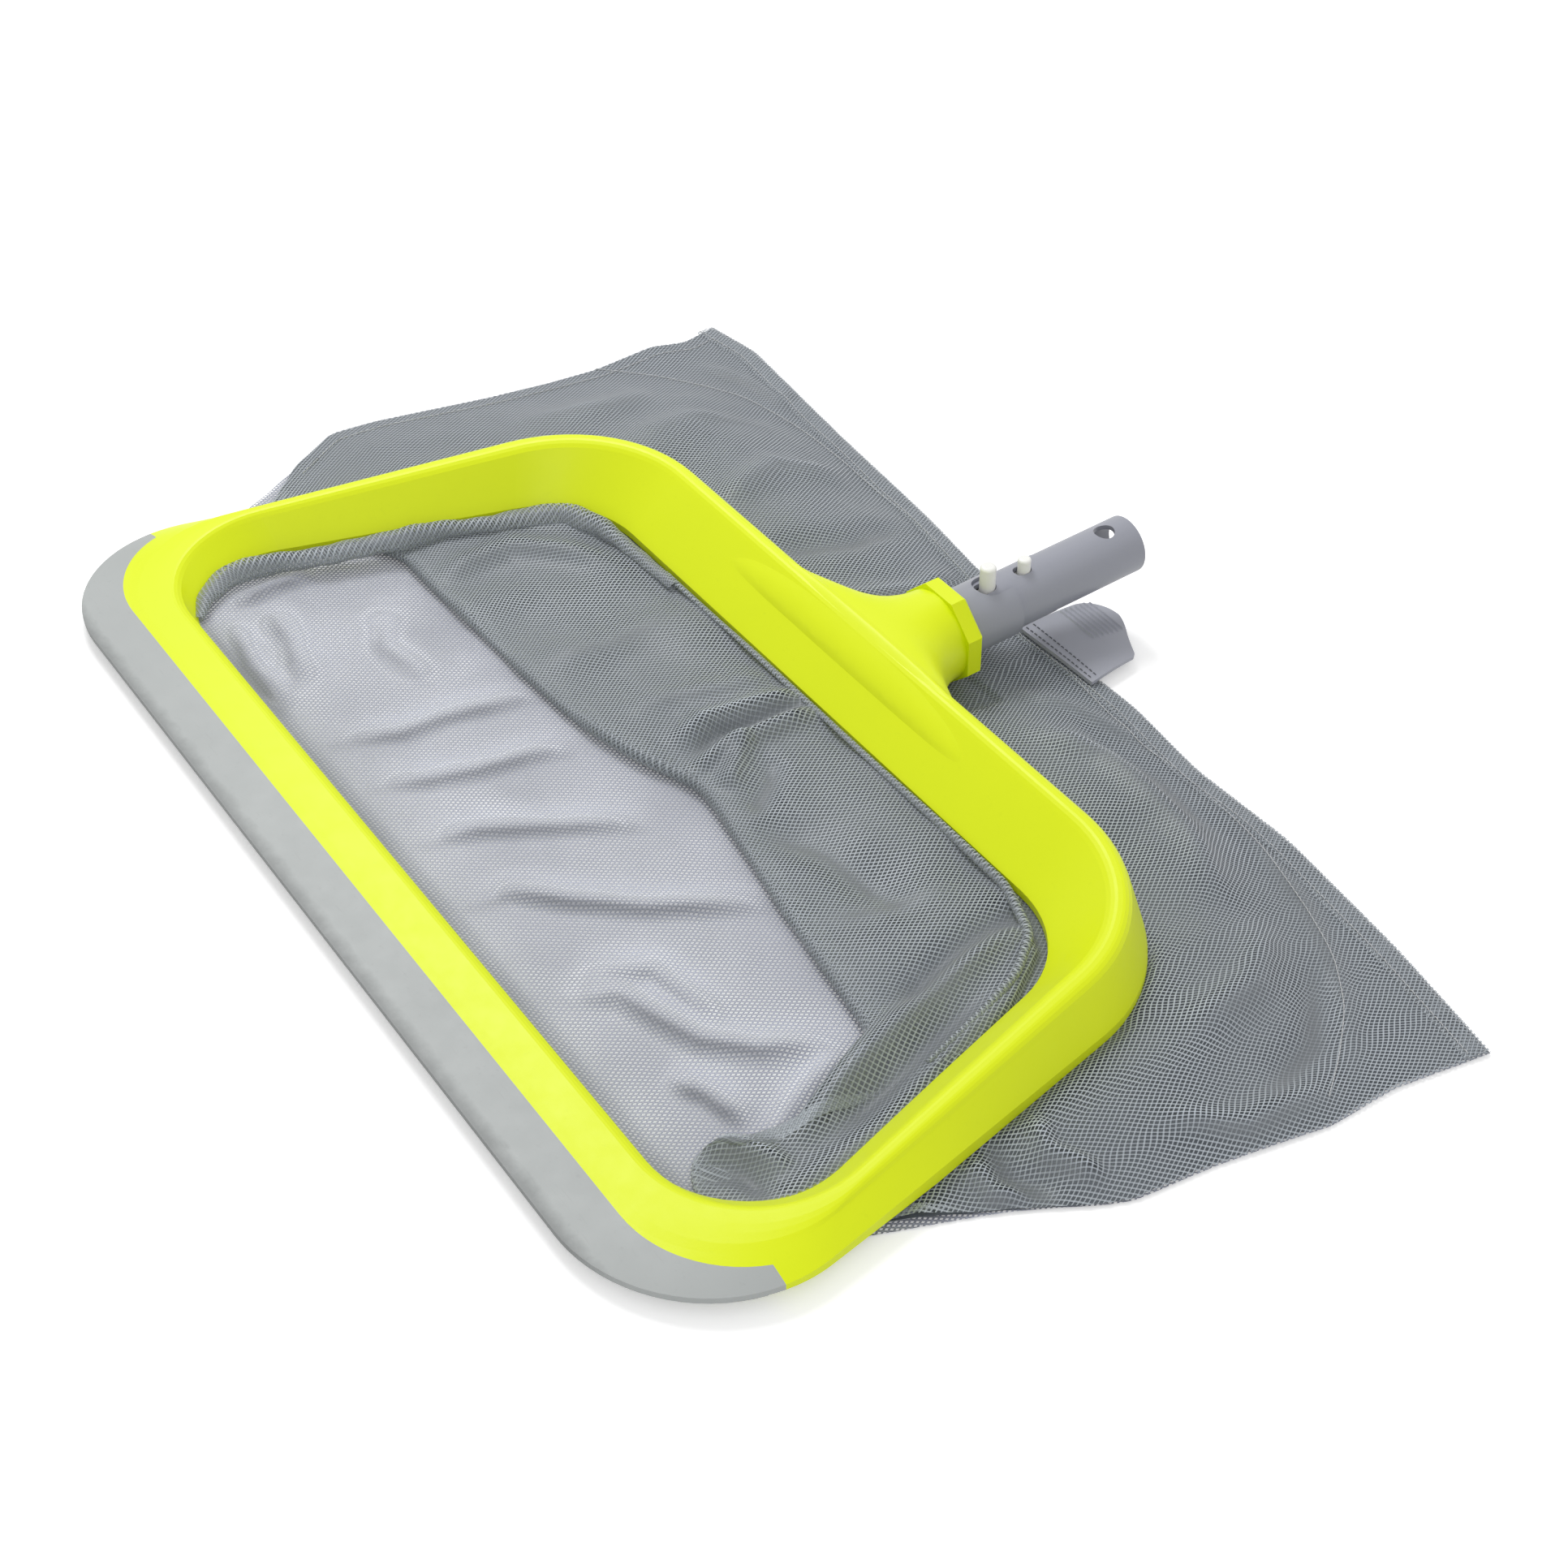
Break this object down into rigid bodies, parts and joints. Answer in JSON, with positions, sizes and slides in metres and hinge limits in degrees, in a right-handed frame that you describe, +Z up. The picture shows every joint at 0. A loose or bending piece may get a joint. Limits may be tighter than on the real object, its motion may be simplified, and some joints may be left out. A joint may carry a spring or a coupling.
{
  "type": "leaf_skimmer_net",
  "caption": "Pool leaf skimmer net: moulded hoop with a grey scraper lip, a hemmed fine mesh bag with a pull tab, and a tubular handle with a spring clip for a pole.",
  "frame": {"origin": "middle of the bounding box in X and Y, on the floor that the net lies on", "axes": "X across the hoop and bag, +Y from the scraper lip to the open end of the handle, +Z up from the floor"},
  "size_m": [0.6228, 0.4321, 0.0567],
  "materials": {
    "hoop_plastic": "moulded, slightly glossy, scuffed",
    "lip_plastic": "soft moulded plastic, worn at the edge",
    "tube_plastic": "smooth satin",
    "screw_steel": "plain",
    "clip_steel": "plain strip",
    "button_plastic": "smooth",
    "hem_fabric": "woven tape",
    "hem_cord": "braided",
    "net_mesh": "fine knitted mesh",
    "tab_vinyl": "coated fabric, satin"
  },
  "bodies": {
    "skimmer": {"hoop_frame": "hoop_plastic", "scraper_lip": "lip_plastic", "handle_tube": "tube_plastic", "handle_screws": "screw_steel", "clip_base": "clip_steel", "mouth_hem": "hem_fabric", "hem_cord": "hem_cord", "net_lower_panel": "net_mesh", "net_upper_panel": "net_mesh", "pull_tab": "tab_vinyl"},
    "clip": {"clip_arm": "clip_steel", "release_button": "button_plastic", "lock_button": "button_plastic"}
  },
  "joints": [
    {"name": "clip_press", "type": "hinge", "parent": "skimmer", "child": "clip", "pos_m": [0, 0.17649, 0.04515], "axis": [1, 0, 0], "range_deg": [0, 13], "stiffness_Nm_per_rad": 0.35}
  ]
}
